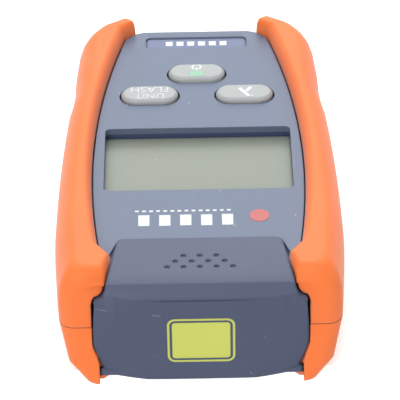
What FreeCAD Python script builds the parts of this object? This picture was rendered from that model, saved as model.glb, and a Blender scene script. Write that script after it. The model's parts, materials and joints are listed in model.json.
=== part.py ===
import FreeCAD, Part
import math
import os
import re
import Sketcher

# Pocket fibre-optic power meter lying on its back.
# X runs across the case, Y runs from the port end (-Y) to the keypad end (+Y), Z runs up
# through the face. The origin is the middle of the footprint, on the surface it lies on.

SIZES = {
    # overall form
    "overall_height": 32.0,      # top of the bumper ridge
    "part_height": 15.75,        # parting plane of the two case halves
    "seam_gap": 0.2,             # open joint between upper and lower bumpers
    "fit_gap": 0.35,             # clearance of moving covers
    # face panel
    "panel_height": 28.0,
    "panel_wall": 1.8,
    "panel_rim": 1.1,
    "panel_half": 27.3,          # widest half width of the barrel-shaped panel
    "panel_mid": -9.0,           # where the panel is widest
    "panel_bow": 257.0,          # radius of the panel's side edges
    "panel_near": -44.2,
    "panel_far": 53.7,
    "wrap_half": 21.9,           # inner tips of the bumper wraps
    "wrap_near": -48.5,
    "corner_half": 16.5,
    "corner_far": 56.6,
    "tail_half": 14.3,
    "tail_reach": 57.3,
    "panel_groove": 0.4,         # dark joint between panel and bumper
    # case halves under the bumpers
    "case_half": 33.2,
    "case_mid": -31.0,
    "case_side_bow": 660.0,
    "far_step": 4.6,
    "case_far": 46.5,
    "case_corner_half": 25.0,
    "case_corner_far": 54.6,
    "arm_step": 0.6,             # arms beside the dust cap, in from the widest side
    "arm_width": 3.2,
    "arm_reach": 56.0,
    "arm_bow": 210.0,
    "port_wall": 46.5,           # outer face of the wall that carries the ports
    "shelf_height": 25.2,        # case shoulder that the upper bumpers sit on
    "case_wall": 2.0,
    "back_height": 0.8,
    "back_chamfer": 4.5,
    # bumpers
    "bumper_end": 58.6,
    "end_skin": 2.1,             # bumper outside the case's widest side, place by place
    "side_skin": 3.5,
    "waist_start_skin": 1.5,
    "waist_end_skin": 0.2,
    "far_skin": 0.5,
    "end_taper": 0.85,
    "end_sweep": 0.7,
    "bumper_end_bow": 300.0,
    "bumper_mid": -31.0,
    "bumper_side_bow": 640.0,
    "waist_start": 19.5,
    "waist_bow": 75.0,
    "waist_end": 37.0,
    "far_start": 48.0,
    "far_corner_half": 26.8,
    "far_corner": 58.4,
    "far_corner_bow": 13.0,
    "tip_half": 21.2,
    "tip_reach": 61.8,
    "tip_bow": 4.2,
    "tip_inner_half": 17.3,
    "tip_inner": 58.6,
    "bay_half": 27.35,           # inner faces beside the dust cap
    "ridge_round_width": 6.0,
    "ridge_round_height": 10.0,
    "ridge_inner_round": 2.0,
    "end_round": 4.0,
    "toe_reach": 61.6,
    "toe_half": 24.6,
    "toe_inner_half": 18.0,
    "toe_gap_half": 25.5,
    "toe_gap_height": 6.0,
    "belly_inset": 2.4,
    "belly_height": 5.0,
    "foot_inset": 7.0,
    "foot_inner_half": 24.4,
    # dust cap
    "hinge_reach": 59.35,
    "hinge_height": 2.6,
    "barrel_radius": 2.5,
    "pin_radius": 0.8,
    "pin_half_length": 28.2,
    "pin_clearance": 0.05,
    "ear_radius": 1.25,
    "ear_inner": 26.2,
    "ear_width": 2.2,
    "knuckle_radius": 1.2,
    "knuckle_half": 25.0,
    "cap_rear": 47.0,
    "cap_side_reach": 59.3,
    "cap_front_bow": 136.0,
    "cap_wall": 2.0,
    "cap_sill": 0.7,             # lowest point of the cap, at its middle
    "cap_sill_bow": 179.9,
    "cap_foot_half": 22.4,
    "cap_foot": 2.1,
    "cap_low_half": 24.6,
    "cap_low": 4.6,
    "cap_low_bow": 6.0,
    "cap_flank_bow": 30.0,
    "cap_side_half": 26.7,
    "cap_side_low": 10.8,
    "cap_side_bow": 95.0,
    "cap_side_high": 23.8,
    "cap_high_half": 26.1,
    "cap_cheek_low": 3.5,
    "cavity_half": 24.6,
    "cavity_high_half": 19.4,
    "cavity_side_top": 20.6,
    "cavity_floor": 5.8,
    "cheek_gap_half": 22.6,
    "shoulder_low": 18.4,        # the shoulder's profile, by distance from the hinge
    "shoulder_low_half": 26.7,
    "shoulder_mid": 22.3,
    "shoulder_mid_half": 25.8,
    "shoulder_high": 24.4,
    "shoulder_high_half": 23.7,
    "shoulder_bow": 5.0,
    "shoulder_hollow": 2.6,
    "shoulder_top": 25.0,
    "tongue_height": 29.4,
    "tongue_thickness": 2.4,
    "tongue_reach": 40.5,
    "tongue_half": 20.5,
    "tongue_front_half": 23.8,
    "tongue_corner": 1.8,
    "crease_reach": 55.5,
    "facet_reach": 58.3,
    "facet_height": 28.8,
    "brow_reach": 60.9,
    "brow_height": 26.0,
    "dimple_pitch": 4.07,
    "dimple_row_pitch": 2.25,
    "dimple_first": 47.8,
    "dimple_radius": 0.65,
    "dimple_depth": 0.35,
    # display
    "display_half": 24.5,
    "display_near": -18.0,
    "display_far": 10.0,
    "display_corner": 1.5,
    "gasket_margin": 0.8,
    "gasket_thickness": 1.5,
    "glass_margin": 0.7,
    "glass_thickness": 2.2,
    "backlight_thickness": 2.0,
    "strip_width": 2.4,
    # keys
    "key_half_length": 7.7,
    "key_half_width": 3.85,
    "key_stand": 1.3,
    "key_gap": 0.45,
    "key_round": 0.9,
    "key_flange": 1.0,
    "key_flange_thickness": 0.9,
    "key_flange_gap": 0.15,
    "key_travel": 0.9,
    "stem_radius": 2.0,
    "key_side": 12.8,
    "key_row": 25.2,
    "power_key_row": 35.6,
    "mat_thickness": 0.9,
    # badge recess
    "badge_half": 14.0,
    "badge_near": 48.8,
    "badge_far": 54.5,
    "badge_depth": 0.5,
    # circuit board
    "board_top": 18.4,
    "board_thickness": 1.6,
    "board_half": 25.0,
    "board_near": -27.0,
    "board_shoulder": 14.0,
    "board_tail_half": 20.5,
    "board_tail": 41.5,
    "board_post_half": 18.0,
    "board_post_near": -23.6,
    "board_post_far": 14.6,
    "board_post_radius": 2.4,
    "board_screw_radius": 0.9,
    "board_screw_length": 6.0,
    "dome_radius": 3.0,
    "dome_height": 1.0,
    "dome_gap": 0.1,
    # ports
    "port_side": 12.0,
    "port_height": 15.0,
    "port_reach": 56.2,
    "port_radius": 4.0,
    "port_flange_radius": 6.0,
    "port_flange_thickness": 2.0,
    "ferrule_radius": 1.25,
    "ferrule_clearance": 0.03,
    "ferrule_depth": 9.0,
    "module_radius": 5.0,
    "module_length": 11.0,
    "module_tail": 3.0,
    # battery bay
    "cell_radius": 5.25,
    "cell_length": 44.5,
    "cell_near": 5.6,
    "cell_gap": 0.3,
    "cell_axis": 8.8,
    "cell_floor": 4.6,
    "cell_height": 12.0,
    "cell_wall": 1.2,
    "cell_bay_half": 11.0,
    "rail_half": 17.2,
    "bay_near": 3.0,
    "door_half": 13.8,
    "door_tongue": 1.4,
    "door_lip": 0.8,
    "door_thickness": 1.8,
    "door_near": -1.0,
    "contact_thickness": 0.6,
    # screws
    "screw_radius": 1.2,
    "screw_head_radius": 2.3,
    "screw_head_height": 1.6,
    "screw_length": 17.0,
    "screw_seat": 3.4,
    "screw_gap": 0.2,
    "boss_radius": 3.0,
    "boss_near": -38.0,
    "boss_near_half": 20.6,
    "boss_far": 46.0,
    "boss_far_half": 20.6,
}

doc = FreeCAD.newDocument("OpticalPowerMeter")
sheet = doc.addObject("Spreadsheet::Sheet", "Sizes")
for row, (name, number) in enumerate(SIZES.items(), start=1):
    sheet.set(f"A{row}", name)
    sheet.set(f"B{row}", str(number))
    sheet.setAlias(f"B{row}", name)
doc.recompute()


# ---------------------------------------------------------------- helpers

def bound(text):
    """The expression with every size name pointing at the spreadsheet."""
    return re.sub(r"[a-z_]+", lambda word: "Sizes." + word[0] if word[0] in SIZES else word[0], text)


def number(text):
    return float(sheet.evalExpression(bound(text)))


def new_body(label):
    body = doc.addObject("PartDesign::Body", label)
    body.Label = label
    return body


def new_sketch(body, name, plane, offset="0", lift="0"):
    """A sketch on one of the body's origin planes, moved along the plane's normal."""
    sketch = body.newObject("Sketcher::SketchObject", name)
    origin_plane = next(item for item in body.Origin.OriginFeatures if item.Role == plane)
    sketch.AttachmentSupport = [(origin_plane, "")]
    sketch.MapMode = "FlatFace"
    sketch.setExpression("AttachmentOffset.Base.z", bound(offset))
    sketch.setExpression("AttachmentOffset.Base.y", bound(lift))
    return sketch


def constrain(sketch, kind, *places, size=None):
    if size is None:
        sketch.addConstraint(Sketcher.Constraint(kind, *places))
        return
    index = sketch.addConstraint(Sketcher.Constraint(kind, *places, number(size)))
    sketch.setExpression(f"Constraints[{index}]", bound(size))


def draw_outline(sketch, corners):
    """A closed outline drawn counter-clockwise. A corner is (x, y) or (x, y, radius): with a
    radius, the edge to the next corner is an arc, bulging outward, or inward if negative."""
    first = sketch.GeometryCount
    count = len(corners)
    ends = []
    for index, corner in enumerate(corners):
        following = corners[(index + 1) % count]
        start = FreeCAD.Vector(number(corner[0]), number(corner[1]), 0)
        stop = FreeCAD.Vector(number(following[0]), number(following[1]), 0)
        if len(corner) == 2:
            sketch.addGeometry(Part.LineSegment(start, stop))
            ends.append((1, 2))
            continue
        radius = number(corner[2])
        half = (stop - start) * 0.5
        inward = FreeCAD.Vector(-half.y, half.x, 0).normalize() * math.copysign(1, radius)
        rise = abs(radius) - math.sqrt(radius ** 2 - half.Length ** 2)
        middle = start + half - inward * rise
        if radius > 0:
            sketch.addGeometry(Part.Arc(start, middle, stop))
            ends.append((1, 2))
        else:
            sketch.addGeometry(Part.Arc(stop, middle, start))
            ends.append((2, 1))
    for index, corner in enumerate(corners):
        edge = first + index
        following = first + (index + 1) % count
        begin, finish = ends[index]
        constrain(sketch, "DistanceX", -1, 1, edge, begin, size=corner[0])
        constrain(sketch, "DistanceY", -1, 1, edge, begin, size=corner[1])
        constrain(sketch, "Coincident", edge, finish, following, ends[(index + 1) % count][0])
        if len(corner) == 3:
            constrain(sketch, "Radius", edge, size=corner[2].lstrip("-"))


def draw_mirrored(sketch, corners):
    """An outline that is symmetric about X = 0, from its right-hand corners, near to far."""
    left = []
    for index in reversed(range(len(corners))):
        arc = corners[index - 1][2:] if index > 0 else ()
        left.append((f"-({corners[index][0]})", corners[index][1], *arc))
    draw_outline(sketch, corners + left)


def draw_rectangle(sketch, low_x, low_y, high_x, high_y):
    draw_outline(sketch, [(low_x, low_y), (high_x, low_y), (high_x, high_y), (low_x, high_y)])


def draw_circle(sketch, x, y, radius):
    centre = FreeCAD.Vector(number(x), number(y), 0)
    index = sketch.addGeometry(Part.Circle(centre, FreeCAD.Vector(0, 0, 1), number(radius)))
    constrain(sketch, "DistanceX", -1, 1, index, 3, size=x)
    constrain(sketch, "DistanceY", -1, 1, index, 3, size=y)
    constrain(sketch, "Radius", index, size=radius)


def draw_slot(sketch, x, y, half_length, half_width):
    """An obround, long in X."""
    straight = f"({half_length} - {half_width})"
    radius = f"({half_width}) * 1.0"
    right = f"{x} + {straight}"
    left = f"{x} - {straight}"
    low = f"{y} - ({half_width})"
    high = f"{y} + {half_width}"
    apex_right = (f"{x} + {half_length}", y, radius)
    apex_left = (f"{x} - ({half_length})", y, radius)
    draw_outline(sketch, [(left, low), (right, low, radius), apex_right,
                          (right, high), (left, high, radius), apex_left])


def pad(body, sketch, length, name):
    feature = body.newObject("PartDesign::Pad", name)
    feature.Profile = sketch
    feature.setExpression("Length", bound(length))
    doc.recompute()
    return feature


def pocket(body, sketch, length, name, forward=False):
    """Cuts against the sketch's normal, or along it when forward."""
    before = body.Shape.Volume
    feature = body.newObject("PartDesign::Pocket", name)
    feature.Profile = sketch
    feature.Reversed = forward
    feature.setExpression("Length", bound(length))
    doc.recompute()
    if not body.Shape.Volume < before:
        raise RuntimeError(f"{body.Label}: {name} removes nothing")
    return feature


def edges_where(shape, test):
    """Names of the edges whose middle and two ends all pass the test."""
    names = []
    for index, edge in enumerate(shape.Edges, start=1):
        low, high = edge.ParameterRange
        places = [edge.valueAt(low + (high - low) * share) for share in (0.02, 0.5, 0.98)]
        if all(test(place) for place in places):
            names.append(f"Edge{index}")
    return names


def fillet(body, radius, test, name):
    base = body.Tip
    feature = body.newObject("PartDesign::Fillet", name)
    feature.Base = (base, edges_where(base.Shape, test))
    feature.setExpression("Radius", bound(radius))
    doc.recompute()
    return feature


def chamfer(body, size, test, name):
    base = body.Tip
    feature = body.newObject("PartDesign::Chamfer", name)
    feature.Base = (base, edges_where(base.Shape, test))
    feature.setExpression("Size", bound(size))
    doc.recompute()
    return feature


def near(value, target, slack=0.05):
    return abs(value - target) < slack


def panel_edge(place, outset="0"):
    """Half width of the barrel-shaped panel at a place along Y."""
    reach = f"(({place}) - panel_mid)"
    return f"panel_half - panel_bow + sqrt((panel_bow + {outset})^2 - {reach}^2)"


# ---------------------------------------------------------------- shared outlines

CASE_SIDE = [
    ("(case_half - arm_step)", "-arm_reach", "arm_bow"),
    ("case_half", "case_mid", "case_side_bow"),
    ("(case_half - far_step)", "case_far"),
    ("case_corner_half", "case_corner_far"),
    ("corner_half", "corner_far"),
    ("tail_half", "tail_reach"),
]


def draw_case_plan(sketch):
    """Plan of a case half: two arms beside the cap's bay, bowed sides, stepped tail."""
    inner = [("(case_half - arm_step - arm_width)", "-port_wall"), ("(case_half - arm_step - arm_width)", "-arm_reach")]
    draw_mirrored(sketch, inner + CASE_SIDE)


def draw_cavity_plan(sketch):
    side = [
        ("case_half - case_wall", "-port_wall + case_wall"),
        ("case_half - case_wall", "case_mid", "case_side_bow"),
        ("(case_half - far_step) - case_wall", "case_far - case_wall"),
        ("case_corner_half - case_wall", "case_corner_far - case_wall"),
        ("corner_half", "corner_far - case_wall"),
    ]
    draw_mirrored(sketch, side)


def boss_places():
    return [(f"{side}{half}", place)
            for half, place in (("boss_near_half", "boss_near"), ("boss_far_half", "boss_far"))
            for side in ("-", "")]


def post_places():
    return [(f"{side}board_post_half", place)
            for place in ("board_post_near", "board_post_far") for side in ("-", "")]


KEYS = {
    "unit_key": ("-key_side", "key_row"),
    "wavelength_key": ("key_side", "key_row"),
    "power_key": ("0", "power_key_row"),
}


# ---------------------------------------------------------------- case halves

def corner_edges(half, low, high):
    """Chooses the upright edges at the four corners of a recess in the panel."""
    def test(place):
        at_end = near(place.y, number(low)) or near(place.y, number(high))
        return near(abs(place.x), number(half)) and at_end and place.z > number("shelf_height")
    return test


def tongue_side(place, outset="0"):
    """Half width of the cap's tongue, which flares towards the cap's front."""
    flare = "(tongue_front_half - tongue_half) / (hinge_reach + barrel_radius - tongue_reach)"
    return f"tongue_half + {outset} - (({place}) + tongue_reach) * {flare}"


def cut_port_holes(body):
    ports = new_sketch(body, "port_openings", "XZ_Plane", "port_wall + 1")
    for x in ("-port_side", "port_side"):
        draw_circle(ports, x, "port_height", "port_radius + cell_gap")
    pocket(body, ports, "case_wall + 2", "port_cuts")


def make_front_case():
    body = new_body("front_case")
    block = new_sketch(body, "block_plan", "XY_Plane", "part_height")
    draw_case_plan(block)
    pad(body, block, "shelf_height - part_height", "block")

    panel = new_sketch(body, "panel_plan", "XY_Plane", "shelf_height - 1")
    draw_mirrored(panel, [
        ("wrap_half", "wrap_near"),
        (panel_edge("panel_near"), "panel_near", "panel_bow"),
        (panel_edge("panel_far"), "panel_far"),
        ("corner_half", "corner_far"),
        ("tail_half", "tail_reach"),
    ])
    pad(body, panel, "panel_height - shelf_height + 1", "panel")

    cavity = new_sketch(body, "cavity_plan", "XY_Plane", "part_height")
    draw_cavity_plan(cavity)
    pocket(body, cavity, "shelf_height - case_wall - part_height", "cavity", forward=True)

    under = new_sketch(body, "under_panel_plan", "XY_Plane", "part_height")
    draw_mirrored(under, [
        (panel_edge("-tongue_reach + case_wall", "-panel_rim"), "-tongue_reach + case_wall",
         "panel_bow - panel_rim"),
        (panel_edge("panel_far - case_wall", "-panel_rim"), "panel_far - case_wall"),
    ])
    pocket(body, under, "panel_height - panel_wall - part_height", "under_panel", forward=True)

    window = new_sketch(body, "display_opening", "XY_Plane", "panel_height")
    draw_rectangle(window, "-display_half", "display_near", "display_half", "display_far")
    pocket(body, window, "panel_wall * 2", "display_cut")
    fillet(body, "display_corner", corner_edges("display_half", "display_near", "display_far"),
           "display_corners")

    holes = new_sketch(body, "key_openings", "XY_Plane", "panel_height")
    for x, y in KEYS.values():
        draw_slot(holes, x, y, "(key_half_length + key_gap)", "(key_half_width + key_gap)")
    pocket(body, holes, "panel_wall * 2", "key_cuts")

    badge = new_sketch(body, "badge_plan", "XY_Plane", "panel_height")
    draw_rectangle(badge, "-badge_half", "badge_near", "badge_half", "badge_far")
    pocket(body, badge, "badge_depth", "badge_recess")
    fillet(body, "display_corner", corner_edges("badge_half", "badge_near", "badge_far"),
           "badge_corners")

    seat = new_sketch(body, "tongue_seat_plan", "XY_Plane", "panel_height + 1")
    draw_mirrored(seat, [
        ("tongue_front_half", "wrap_near - 1"),
        ("tongue_front_half", "wrap_near"),
        (tongue_side("-tongue_reach + fit_gap", "fit_gap"), "-tongue_reach + fit_gap"),
    ])
    pocket(body, seat, "panel_height + 1 - (tongue_height - tongue_thickness - fit_gap)",
           "tongue_seat")

    nose = new_sketch(body, "panel_nose_plan", "XY_Plane", "tongue_height - tongue_thickness - fit_gap")
    draw_rectangle(nose, "-shoulder_high_half - fit_gap", "wrap_near - 1",
                   "shoulder_high_half + fit_gap", "-cap_rear + fit_gap")
    pocket(body, nose, "panel_height - shelf_height + 1", "panel_nose_cut")

    posts = new_sketch(body, "boss_plan", "XY_Plane", "part_height")
    for x, y in boss_places():
        draw_circle(posts, x, y, "boss_radius")
    pad(body, posts, "shelf_height - case_wall / 2 - part_height", "bosses")
    pilots = new_sketch(body, "pilot_plan", "XY_Plane", "part_height")
    for x, y in boss_places():
        draw_circle(pilots, x, y, "screw_radius")
    pocket(body, pilots, "screw_seat + screw_length - part_height + 0.5", "pilots", forward=True)
    cut_port_holes(body)
    return body


def draw_ear(body, name, place):
    ear = new_sketch(body, name, "YZ_Plane", place)
    low = "hinge_height - ear_radius"
    high = "hinge_height + ear_radius"
    draw_outline(ear, [
        ("-arm_reach + case_wall", low),
        ("-arm_reach + case_wall", high),
        ("-hinge_reach", high, "ear_radius * 1.0001"),
        ("-hinge_reach", low),
    ])
    pad(body, ear, "ear_width", name + "_pad")


def add_case_block(body):
    """The outside of the rear half: bevelled block and the two ears that hold the hinge pin."""
    block = new_sketch(body, "block_plan", "XY_Plane", "back_height")
    draw_case_plan(block)
    pad(body, block, "part_height - back_height", "block")
    low = number("back_height")
    chamfer(body, "back_chamfer",
            lambda p: near(p.z, low) and abs(p.x) > number("(case_half - arm_step - arm_width) + 1")
            and p.y > -number("arm_reach") + 0.01 and p.y < number("case_far"),
            "belly_bevels")
    draw_ear(body, "ear_right", "ear_inner")
    draw_ear(body, "ear_left", "-ear_inner - ear_width")


def make_rear_case():
    body = new_body("rear_case")
    add_case_block(body)

    cavity = new_sketch(body, "cavity_plan", "XY_Plane", "part_height")
    draw_cavity_plan(cavity)
    pocket(body, cavity, "part_height - back_height - case_wall - back_chamfer / 2", "cavity")
    floor = new_sketch(body, "floor_plan", "XY_Plane", "part_height")
    draw_mirrored(floor, [
        ("boss_near_half + boss_radius + 2", "-port_wall + case_wall"),
        ("boss_far_half + boss_radius", "case_far"),
    ])
    pocket(body, floor, "part_height - back_height - case_wall", "floor")

    chin = new_sketch(body, "chin_plan", "XY_Plane", "back_height")
    draw_rectangle(chin, "-(case_half - arm_step - arm_width) - 0.5", "-hinge_reach + barrel_radius + fit_gap",
                   "(case_half - arm_step - arm_width) + 0.5", "-port_wall + case_wall")
    pad(body, chin, "case_wall", "chin")

    rails = new_sketch(body, "rail_plan", "XY_Plane", "back_height")
    draw_rectangle(rails, "-rail_half", "door_near - case_wall", "rail_half", "tail_reach - 1")
    pad(body, rails, "cell_floor - back_height", "rails")
    walls = new_sketch(body, "cell_wall_plan", "XY_Plane", "back_height")
    draw_rectangle(walls, "-cell_bay_half - cell_wall", "bay_near - cell_wall",
                   "cell_bay_half + cell_wall", "tail_reach - case_wall / 2")
    pad(body, walls, "cell_height - back_height", "cell_walls")
    bay = new_sketch(body, "cell_bay_plan", "XY_Plane", "cell_height")
    draw_rectangle(bay, "-cell_bay_half", "bay_near", "cell_bay_half", "tail_reach - case_wall")
    pocket(body, bay, "cell_height - back_height - door_thickness", "cell_bay")

    opening = new_sketch(body, "door_opening", "XY_Plane", "back_height")
    draw_rectangle(opening, "-door_half - cell_gap", "door_near - cell_gap",
                   "door_half + cell_gap", "tail_reach + 1")
    pocket(body, opening, "door_thickness + cell_gap", "door_cut", forward=True)
    groove = new_sketch(body, "door_groove", "XY_Plane", "back_height + door_lip - cell_gap / 2")
    draw_rectangle(groove, "-door_half - door_tongue - cell_gap", "door_near - cell_gap",
                   "door_half + door_tongue + cell_gap", "tail_reach + 1")
    pocket(body, groove, "door_thickness - door_lip + cell_gap * 1.5", "groove_cut", forward=True)

    posts = new_sketch(body, "post_plan", "XY_Plane", "back_height + case_wall / 2")
    for x, y in post_places():
        draw_circle(posts, x, y, "board_post_radius")
    pad(body, posts, "board_top - board_thickness - back_height - case_wall / 2", "posts")
    post_pilots = new_sketch(body, "post_pilot_plan", "XY_Plane", "board_top - board_thickness")
    for x, y in post_places():
        draw_circle(post_pilots, x, y, "board_screw_radius")
    pocket(body, post_pilots, "board_screw_length - board_thickness + 0.5", "post_pilots")

    bosses = new_sketch(body, "boss_plan", "XY_Plane", "back_height + case_wall / 2")
    for x, y in boss_places():
        draw_circle(bosses, x, y, "boss_radius")
    pad(body, bosses, "part_height - back_height - case_wall / 2", "bosses")
    heads = new_sketch(body, "screw_head_plan", "XY_Plane", "back_height")
    for x, y in boss_places():
        draw_circle(heads, x, y, "screw_head_radius + cell_gap")
    pocket(body, heads, "screw_seat - back_height", "screw_heads", forward=True)
    shanks = new_sketch(body, "screw_hole_plan", "XY_Plane", "back_height")
    for x, y in boss_places():
        draw_circle(shanks, x, y, "screw_radius + screw_gap")
    pocket(body, shanks, "part_height - back_height", "screw_holes", forward=True)

    bore = new_sketch(body, "hinge_bore", "YZ_Plane", "-(case_half - arm_step)")
    draw_circle(bore, "-hinge_reach", "hinge_height", "pin_radius")
    pocket(body, bore, "(case_half - arm_step) * 2", "hinge_bores", forward=True)
    cut_port_holes(body)
    return body


# ---------------------------------------------------------------- bumpers

def bumper_outer(inset, end):
    """Outer edge of a bumper's plan, from its near end round to the inner tip of its curl."""
    return [
        (f"case_half + end_skin - end_round - {inset} * end_taper", f"-({end})",
         "end_round * 1.0001"),
        (f"case_half + end_skin - {inset} * end_taper", f"-({end}) + end_round",
         "bumper_end_bow"),
        (f"(case_half + side_skin) - {inset}", "bumper_mid", "bumper_side_bow"),
        (f"(case_half + waist_start_skin) - {inset}", "waist_start", "-waist_bow"),
        (f"(case_half + waist_end_skin) - {inset}", "waist_end"),
        (f"(case_half - far_skin) - {inset}", "far_start", "far_corner_bow"),
        (f"far_corner_half - {inset} * 0.5", f"far_corner - {inset} * 0.5"),
        (f"tip_half - {inset} * 0.25", f"tip_reach - {inset} * 0.6", "tip_bow"),
        (f"tip_inner_half + {inset} * 0.2", f"tip_inner - {inset} * 0.1"),
    ]


def draw_sided(sketch, corners, side):
    """The outline as given on the right, or its mirror image on the left."""
    if side > 0:
        draw_outline(sketch, corners)
        return
    turned = []
    for index in reversed(range(len(corners))):
        arc = corners[index - 1][2:]
        turned.append((f"-({corners[index][0]})", corners[index][1], *arc))
    draw_outline(sketch, turned)


def case_envelope(label, upper):
    """The closed outside of a case half, which the bumpers are moulded against."""
    body = new_body(label)
    if upper:
        block = new_sketch(body, "block_plan", "XY_Plane", "part_height")
        draw_case_plan(block)
        pad(body, block, "shelf_height - part_height", "block")
        return body
    add_case_block(body)
    chin = new_sketch(body, "chin_plan", "XY_Plane", "back_height")
    draw_rectangle(chin, "-(case_half - arm_step - arm_width) - 0.5", "-hinge_reach + barrel_radius + fit_gap",
                   "(case_half - arm_step - arm_width) + 0.5", "-port_wall + case_wall")
    pad(body, chin, "case_wall", "chin")
    return body


def cut_by(label, blank, tool):
    piece = doc.addObject("Part::Cut", label)
    piece.Label = label
    piece.Base = blank
    piece.Tool = tool
    doc.recompute()
    return piece


def bumper_levels():
    """Heights and insets of an upper bumper's sections: upright, then rounded over the ridge."""
    ridge_start = "(overall_height - ridge_round_height)"
    levels = [("part_height + seam_gap / 2", "0"), (ridge_start, "0")]
    for angle in (20, 38, 54, 68, 80, 90):
        rise = math.sin(math.radians(angle))
        inset = 1 - math.cos(math.radians(angle))
        levels.append((f"{ridge_start} + ridge_round_height * {rise:.4f}",
                       f"(ridge_round_width * {inset:.4f})"))
    return levels


def shoulder_profile(outset="0"):
    """The cap's shoulder in half section: half width against distance from the hinge."""
    return [
        (f"shoulder_low_half + {outset}", f"shoulder_low + {outset}", "shoulder_bow"),
        (f"shoulder_mid_half + {outset}", f"shoulder_mid + {outset}", "-shoulder_hollow"),
        (f"shoulder_high_half + {outset}", f"shoulder_high + {outset}"),
    ]


def cap_edge(outset="0"):
    """Right-hand outline of the closed cap seen from its front, from its sill to its side."""
    return [
        ("0", f"cap_sill - {outset}", "cap_sill_bow"),
        (f"cap_foot_half + {outset} * 0.7", f"cap_foot - {outset} * 0.7", "cap_low_bow"),
        (f"cap_low_half + {outset}", f"cap_low - {outset} * 0.3", "cap_flank_bow"),
        (f"cap_side_half + {outset}", "cap_side_low", "cap_side_bow"),
        (f"cap_high_half + {outset}", "cap_side_high"),
    ]


def turn_cut(body, sketch, name):
    """Cuts a ring about the sketch's own horizontal axis."""
    before = body.Shape.Volume
    feature = body.newObject("PartDesign::Groove", name)
    feature.Profile = sketch
    feature.ReferenceAxis = (sketch, ["H_Axis"])
    feature.Angle = 360
    doc.recompute()
    if not body.Shape.Volume < before:
        raise RuntimeError(f"{body.Label}: {name} removes nothing")
    return feature


def make_front_bumper(label, side, envelope):
    body = new_body(label + "_blank")
    groove = "panel_groove"
    sections = []
    for index, (height, inset) in enumerate(bumper_levels()):
        lift = number(height) - number("panel_height")
        rise = "0"
        if lift > 0:
            rise = f"((({height}) - panel_height) / (overall_height - panel_height))"
        back = f"(ridge_inner_round * (1 - sqrt(1 - {rise} * {rise} * 0.9999)))"
        end = f"bumper_end - {inset} * 0.8"
        outline = bumper_outer(inset, end) + [
            (f"corner_half + {groove} + {back} * 0.5", f"corner_far + {groove} + {back} * 0.2"),
            (f"{panel_edge('panel_far', groove)} + {back}", f"panel_far + {groove} + {back} * 0.6",
             f"-(panel_bow + {groove})"),
            (f"{panel_edge('panel_near', groove)} + {back}", f"panel_near + {groove} - {back} * 0.3"),
            (tongue_side("wrap_near", f"fit_gap + {back} * 0.6"), f"wrap_near + {groove} - {back}"),
            (tongue_side("-bumper_end", f"fit_gap + {back} * 0.6"), f"-({end})"),
        ]
        section = new_sketch(body, f"level_{index}", "XY_Plane", height)
        draw_sided(section, outline, side)
        sections.append(section)
    loft = body.newObject("PartDesign::AdditiveLoft", "moulding")
    loft.Profile = sections[0]
    loft.Sections = sections[1:]
    loft.Ruled = True
    doc.recompute()

    sweep = new_sketch(body, "cap_sweep", "XZ_Plane", "hinge_reach", "hinge_height")
    draw_sided(sweep, [("0", "0"), ("bay_half", "0")] + shoulder_profile("fit_gap")
               + [("shoulder_high_half + fit_gap", "shoulder_top + fit_gap"),
                  ("0", "shoulder_top + fit_gap")], side)
    turn_cut(body, sweep, "cap_seat")
    return cut_by(label, body, envelope)


def make_rear_bumper(label, side, envelope):
    """Ruled through three levels, the seam, the belly and the foot it stands on, and then
    hollowed to the cap's outline, so that only a thin joint shows round the closed cap."""
    body = new_body(label + "_blank")
    belly_end = "bumper_end + (toe_reach - bumper_end) * end_sweep"
    levels = [
        ("part_height - seam_gap / 2", "0", "bumper_end", "toe_inner_half"),
        ("belly_height", "belly_inset", belly_end, "toe_inner_half"),
        ("0", "foot_inset", "toe_reach", "toe_half"),
    ]
    sections = []
    for index, (height, inset, end, inner) in enumerate(levels):
        section = new_sketch(body, f"level_{index}", "XY_Plane", height)
        outline = bumper_outer(inset, end) + [
            ("foot_inner_half - 6", "case_corner_far"),
            ("foot_inner_half", "case_far"),
            ("foot_inner_half", "-hinge_reach + barrel_radius + fit_gap"),
            (inner, "-hinge_reach + barrel_radius + fit_gap"),
            (inner, f"-({end})"),
        ]
        draw_sided(section, outline, side)
        sections.append(section)
    loft = body.newObject("PartDesign::AdditiveLoft", "moulding")
    loft.Profile = sections[0]
    loft.Sections = sections[1:]
    loft.Ruled = True
    doc.recompute()
    bay = new_sketch(body, "cap_outline", "XZ_Plane", "port_wall")
    draw_sided(bay, cap_edge("fit_gap") + [("0", "part_height + 1")], side)
    pocket(body, bay, "toe_reach", "cap_bay", forward=True)
    swing = new_sketch(body, "cap_swing", "XZ_Plane", "hinge_reach")
    draw_sided(swing, [("0", "-1"), ("toe_gap_half", "-1"), ("toe_gap_half", "toe_gap_height"),
                       ("0", "toe_gap_height")], side)
    pocket(body, swing, "toe_reach", "cap_swing_cut", forward=True)
    bore = new_sketch(body, "hinge_bore", "YZ_Plane", "-arm_reach / 2")
    draw_circle(bore, "-hinge_reach", "hinge_height", "pin_radius + cell_gap")
    pocket(body, bore, "arm_reach", "hinge_bore_cut", forward=True)
    knuckle = new_sketch(body, "knuckle_gap", "YZ_Plane", "-toe_gap_half")
    draw_circle(knuckle, "-hinge_reach", "hinge_height", "knuckle_radius + fit_gap")
    pocket(body, knuckle, "toe_gap_half * 2", "knuckle_cut", forward=True)
    return cut_by(label, body, envelope)


# ---------------------------------------------------------------- dust cap

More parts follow.
